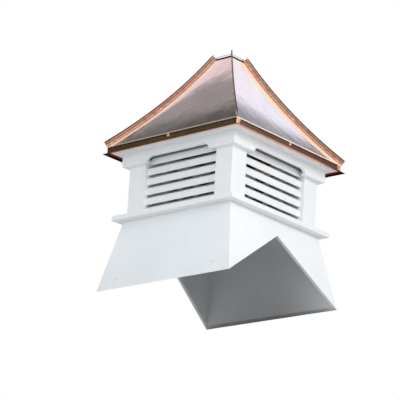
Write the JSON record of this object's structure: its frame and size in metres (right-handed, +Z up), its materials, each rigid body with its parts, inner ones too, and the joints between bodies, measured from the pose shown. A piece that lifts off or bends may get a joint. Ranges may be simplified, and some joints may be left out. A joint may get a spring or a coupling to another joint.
{
  "type": "barn cupola",
  "caption": "White square louvred cupola with a flared base notched for a roof ridge, arched frieze, and a swept copper hip roof with standing seams and a flat cap.",
  "frame": {"origin": "centre of the base, on the level of its lowest edges", "axes": "+Z up, +X along the roof ridge, so the notched base panels face +X and -X"},
  "size_m": [0.8572, 0.8572, 1.2772],
  "materials": {
    "base_panels": "white paint, satin",
    "waist_boards": "white paint, satin",
    "posts": "white paint, satin",
    "rails": "white paint, satin",
    "louvre_slats": "white paint, satin",
    "frieze": "white paint, satin",
    "soffit": "white paint, satin",
    "roof_deck": "bare plywood",
    "roof_sheets": "bright new copper",
    "eave_drips": "bright new copper",
    "hip_seams": "bright new copper",
    "roof_cap": "bright new copper"
  },
  "bodies": {
    "root": {"base_back_panel": "base_panels", "base_front_panel": "base_panels", "base_left_panel": "base_panels", "base_right_panel": "base_panels", "bottom_rail_back": "rails", "bottom_rail_front": "rails", "bottom_rail_left": "rails", "bottom_rail_right": "rails", "corner_post_back_left": "posts", "corner_post_back_right": "posts", "corner_post_front_left": "posts", "corner_post_front_right": "posts", "eave_drip_back": "eave_drips", "eave_drip_front": "eave_drips", "eave_drip_left": "eave_drips", "eave_drip_right": "eave_drips", "frieze_back": "frieze", "frieze_front": "frieze", "frieze_left": "frieze", "frieze_right": "frieze", "hip_seam_back_left": "hip_seams", "hip_seam_back_right": "hip_seams", "hip_seam_front_left": "hip_seams", "hip_seam_front_right": "hip_seams", "louvre_slats_back": "louvre_slats", "louvre_slats_front": "louvre_slats", "louvre_slats_left": "louvre_slats", "louvre_slats_right": "louvre_slats", "roof_cap": "roof_cap", "roof_deck_back": "roof_deck", "roof_deck_front": "roof_deck", "roof_deck_left": "roof_deck", "roof_deck_right": "roof_deck", "roof_sheet_back": "roof_sheets", "roof_sheet_front": "roof_sheets", "roof_sheet_left": "roof_sheets", "roof_sheet_right": "roof_sheets", "soffit_back": "soffit", "soffit_front": "soffit", "soffit_left": "soffit", "soffit_right": "soffit", "waist_board_back": "waist_boards", "waist_board_front": "waist_boards", "waist_board_left": "waist_boards", "waist_board_right": "waist_boards"}
  },
  "joints": []
}
